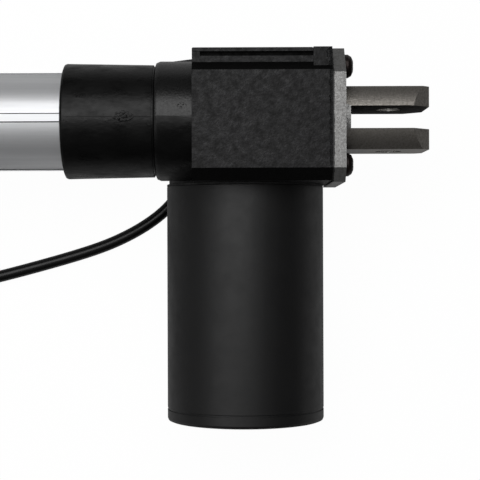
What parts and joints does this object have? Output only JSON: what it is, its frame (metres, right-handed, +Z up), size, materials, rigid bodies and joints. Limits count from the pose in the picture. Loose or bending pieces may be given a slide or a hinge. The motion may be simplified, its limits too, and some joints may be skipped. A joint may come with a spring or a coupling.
{
  "type": "lift chair linear actuator",
  "caption": "Lift chair linear actuator with a ribbed aluminium tube, sliding rod, worm gearbox, round side motor, slotted pivot clevises and a motor lead.",
  "frame": {"origin": "centre of the rear pivot bore, in the clevis at the gearbox end", "axes": "+X along the tube from the front fork to the rear clevis; +Y along the pivot bores, away from the motor; +Z up as the part lies on its motor"},
  "size_m": [0.4075, 0.1553, 0.0765],
  "materials": {
    "cast_alloy": "shot-blasted die casting",
    "black_steel": "black oxide",
    "black_moulding": "fine moulded grain",
    "tube_aluminium": "satin extruded",
    "bright_steel": "ground",
    "white_nylon": "moulded",
    "bronze": "sintered",
    "motor_black": "satin black",
    "magnet_grey": "plain",
    "copper": "enamelled",
    "board_green": "solder mask",
    "black_rubber": "plain"
  },
  "bodies": {
    "housing": {"rear_clevis": "cast_alloy", "clevis_screws": "black_steel", "gearbox_housing": "black_moulding", "gearbox_lid": "black_moulding", "lid_screws": "black_steel", "outer_tube": "tube_aluminium", "tube_collar": "black_moulding", "tube_end_cap": "black_moulding", "rod_wiper": "black_rubber", "limit_switch_board": "board_green", "limit_switches": "black_moulding", "spindle_bearing": "bright_steel", "spindle_bush": "bronze", "motor_can": "motor_black", "motor_end_cap": "motor_black", "motor_tie_rods": "bright_steel", "motor_front_plate": "bright_steel", "motor_magnets": "magnet_grey", "brush_plate": "black_moulding", "brushes": "magnet_grey", "motor_front_bush": "bronze", "motor_rear_bush": "bronze", "worm_end_bush": "bronze", "cable_boot": "black_rubber", "cable": "black_rubber", "cable_coil": "black_rubber", "coil_tie": "black_moulding", "cable_tail": "black_rubber", "cable_plug": "black_moulding"},
    "rod": {"rod_tube": "bright_steel", "drive_nut": "white_nylon", "front_fork": "cast_alloy", "fork_pin": "bright_steel"},
    "spindle": {"spindle": "bright_steel", "worm_wheel": "white_nylon", "spindle_locknut": "bright_steel"},
    "rotor": {"armature_shaft": "bright_steel", "armature_core": "magnet_grey", "armature_windings": "copper", "commutator": "copper"}
  },
  "joints": [
    {"name": "rotor_spin", "type": "hinge", "parent": "housing", "child": "rotor", "pos_m": [-0.0558, 0, -0.02], "axis": [0, 1, 0], "range_deg": [0, 526499]},
    {"name": "spindle_spin", "type": "hinge", "parent": "housing", "child": "spindle", "pos_m": [0, 0, 0], "axis": [1, 0, 0], "range_deg": [0, 17550]},
    {"name": "rod_slide", "type": "slide", "parent": "housing", "child": "rod", "axis": [-1, 0, 0], "range_m": [0, 0.195]}
  ],
  "couplings": [
    {"joint": "spindle_spin", "follows": "rotor_spin", "ratio": 0.033333},
    {"joint": "rod_slide", "follows": "rotor_spin", "m_per_rad": 0.000021221}
  ]
}
